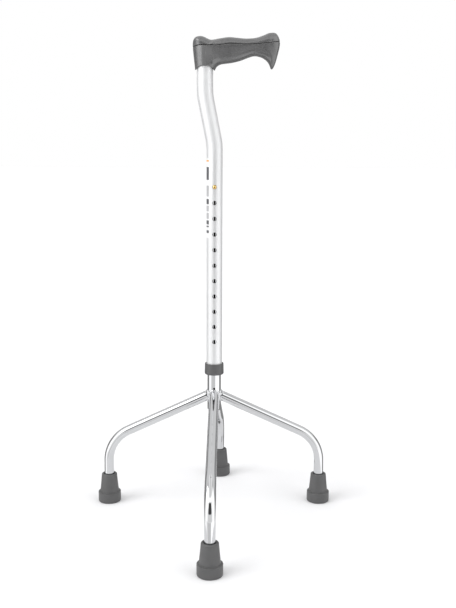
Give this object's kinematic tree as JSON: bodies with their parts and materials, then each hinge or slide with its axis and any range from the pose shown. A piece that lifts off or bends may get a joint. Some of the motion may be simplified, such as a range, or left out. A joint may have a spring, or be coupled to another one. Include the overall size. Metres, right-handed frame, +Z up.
{
  "type": "quad walking cane",
  "caption": "Height-adjustable walking cane with a contoured grip, a swan-neck tube and a snap button, standing on bent tube legs with grey rubber ferrules.",
  "frame": {"origin": "on the floor, at the centre of the base's outline; the stem's axis stands at x 0, y +70.5 mm", "axes": "+Z up along the stem, +X towards the grip's free end, -Y towards the long front leg"},
  "size_m": [0.3896, 0.4286, 0.7631],
  "materials": {
    "chromed_steel": "polished chrome plate",
    "anodised_aluminium": "satin clear anodised",
    "grey_rubber": "matt moulded",
    "grey_collar": "satin moulded",
    "grey_grip": "satin moulded",
    "grey_grip_cover": "satin moulded",
    "black_plastic": "matt moulded",
    "white_nylon": "matt moulded",
    "spring_steel": "tempered",
    "zinc_steel": "zinc plated",
    "brass": "polished",
    "label_film": "satin film"
  },
  "bodies": {
    "base": {"stem_tube": "chromed_steel", "stem_end_plug": "black_plastic", "stem_top_bush": "black_plastic", "snap_spring": "spring_steel", "leg_left": "chromed_steel", "leg_right": "chromed_steel", "leg_front": "chromed_steel", "leg_back": "chromed_steel", "weld_bead": "chromed_steel", "ferrule_left": "grey_rubber", "ferrule_right": "grey_rubber", "ferrule_front": "grey_rubber", "ferrule_back": "grey_rubber", "foot_washer_left": "zinc_steel", "foot_washer_right": "zinc_steel", "foot_washer_front": "zinc_steel", "foot_washer_back": "zinc_steel"},
    "button": {"snap_button": "brass"},
    "upper": {"upper_tube": "anodised_aluminium", "tube_collar": "grey_collar", "collar_bush": "white_nylon", "blank_label": "label_film", "handle_core": "black_plastic", "handle_body": "grey_grip", "handle_cover": "grey_grip_cover", "tube_insert": "black_plastic", "handle_screw": "zinc_steel", "screw_washer": "zinc_steel"}
  },
  "joints": [
    {"name": "height_slide", "type": "slide", "parent": "base", "child": "upper", "axis": [0, 0, 1], "range_m": [0, 0.25], "deforming": ["snap_button"]},
    {"name": "button_press", "type": "slide", "parent": "base", "child": "button", "axis": [0, 1, 0], "range_m": [0, 0.0045], "stiffness_N_per_m": 1500, "springref_m": -0.002, "deforming": ["snap_spring"]}
  ]
}
